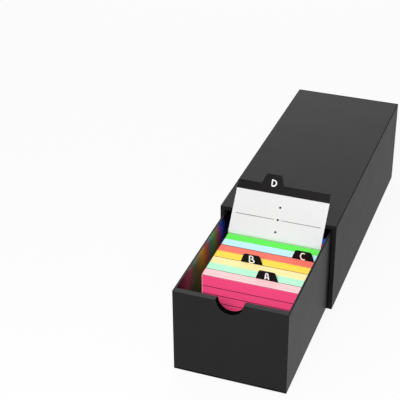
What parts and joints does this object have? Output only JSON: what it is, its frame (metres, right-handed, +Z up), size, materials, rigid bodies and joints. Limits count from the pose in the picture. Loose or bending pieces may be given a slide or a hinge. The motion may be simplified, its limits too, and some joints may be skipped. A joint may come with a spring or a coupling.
{
  "type": "index card box",
  "caption": "Black paper-covered board box: an open-fronted sleeve with a sliding drawer, a thumb notch, and packs of coloured index cards parted by tabbed dividers.",
  "frame": {"origin": "centre of the sleeve's underside", "axes": "+Z up, -Y is the way the drawer pulls out of the sleeve, +X to the right seen from the front"},
  "size_m": [0.16, 0.573, 0.1762],
  "materials": {
    "cover_paper": "black wrapping paper, satin, fine grain",
    "base_paper": "black paper, matte",
    "lining_paper": "black lining paper, semi-gloss",
    "grey_board": "grey board, matte",
    "divider_card": "white card, satin",
    "tab_strip": "black card strip, satin",
    "cards_pink": "coloured card, matte",
    "cards_mint": "coloured card, matte",
    "cards_cream": "coloured card, matte",
    "cards_yellow": "coloured card, matte",
    "cards_coral": "coloured card, matte",
    "cards_sky": "coloured card, matte",
    "cards_green": "coloured card, matte",
    "cards_red": "coloured card, matte",
    "cards_blue": "coloured card, matte"
  },
  "bodies": {
    "sleeve": {"sleeve_top_board": "grey_board", "sleeve_bottom_board": "grey_board", "sleeve_left_board": "grey_board", "sleeve_right_board": "grey_board", "sleeve_back_board": "grey_board", "sleeve_cover_paper": "cover_paper", "sleeve_back_paper": "cover_paper", "sleeve_base_sheet": "base_paper", "sleeve_lining": "lining_paper"},
    "drawer": {"drawer_floor_board": "grey_board", "drawer_left_board": "grey_board", "drawer_right_board": "grey_board", "drawer_back_board": "grey_board", "drawer_front_outer_board": "grey_board", "drawer_front_inner_board": "grey_board", "drawer_cover_paper": "cover_paper", "drawer_lining": "lining_paper", "drawer_base_paper": "base_paper", "cards_red": "cards_red", "cards_blue": "cards_blue"},
    "pink_pack": {"cards_pink": "cards_pink"},
    "mint_pack": {"cards_mint": "cards_mint"},
    "cream_pack": {"cards_cream": "cards_cream"},
    "yellow_pack": {"cards_yellow": "cards_yellow"},
    "coral_pack": {"cards_coral": "cards_coral"},
    "sky_pack": {"cards_sky": "cards_sky"},
    "green_pack": {"cards_green": "cards_green"},
    "divider_a": {"divider_a_card": "divider_card", "divider_a_tab_strip": "tab_strip"},
    "divider_b": {"divider_b_card": "divider_card", "divider_b_tab_strip": "tab_strip"},
    "divider_c": {"divider_c_card": "divider_card", "divider_c_tab_strip": "tab_strip"},
    "divider_d": {"divider_d_card": "divider_card", "divider_d_tab_strip": "tab_strip"}
  },
  "joints": [
    {"name": "drawer_slide", "type": "slide", "parent": "sleeve", "child": "drawer", "axis": [0, -1, 0], "range_m": [-0.193, 0.13], "deforming": ["divider_d_card", "divider_d_tab_strip"]},
    {"name": "pink_pack_lift", "type": "slide", "parent": "drawer", "child": "pink_pack", "axis": [0, 0, 1], "range_m": [0, 0.118]},
    {"name": "mint_pack_lift", "type": "slide", "parent": "drawer", "child": "mint_pack", "axis": [0, 0, 1], "range_m": [0, 0.118]},
    {"name": "cream_pack_lift", "type": "slide", "parent": "drawer", "child": "cream_pack", "axis": [0, 0, 1], "range_m": [0, 0.118]},
    {"name": "yellow_pack_lift", "type": "slide", "parent": "drawer", "child": "yellow_pack", "axis": [0, 0, 1], "range_m": [0, 0.118]},
    {"name": "coral_pack_lift", "type": "slide", "parent": "drawer", "child": "coral_pack", "axis": [0, 0, 1], "range_m": [0, 0.118]},
    {"name": "sky_pack_lift", "type": "slide", "parent": "drawer", "child": "sky_pack", "axis": [0, 0, 1], "range_m": [0, 0.118]},
    {"name": "green_pack_lift", "type": "slide", "parent": "drawer", "child": "green_pack", "axis": [0, 0, 1], "range_m": [0, 0.118]},
    {"name": "divider_a_lift", "type": "slide", "parent": "drawer", "child": "divider_a", "axis": [0, 0, 1], "range_m": [0, 0.118]},
    {"name": "divider_b_lift", "type": "slide", "parent": "drawer", "child": "divider_b", "axis": [0, 0, 1], "range_m": [0, 0.118]},
    {"name": "divider_c_lift", "type": "slide", "parent": "drawer", "child": "divider_c", "axis": [0, 0, 1], "range_m": [0, 0.118]},
    {"name": "divider_d_lift", "type": "slide", "parent": "drawer", "child": "divider_d", "axis": [0, 0, 1], "range_m": [0, 0.044]}
  ]
}
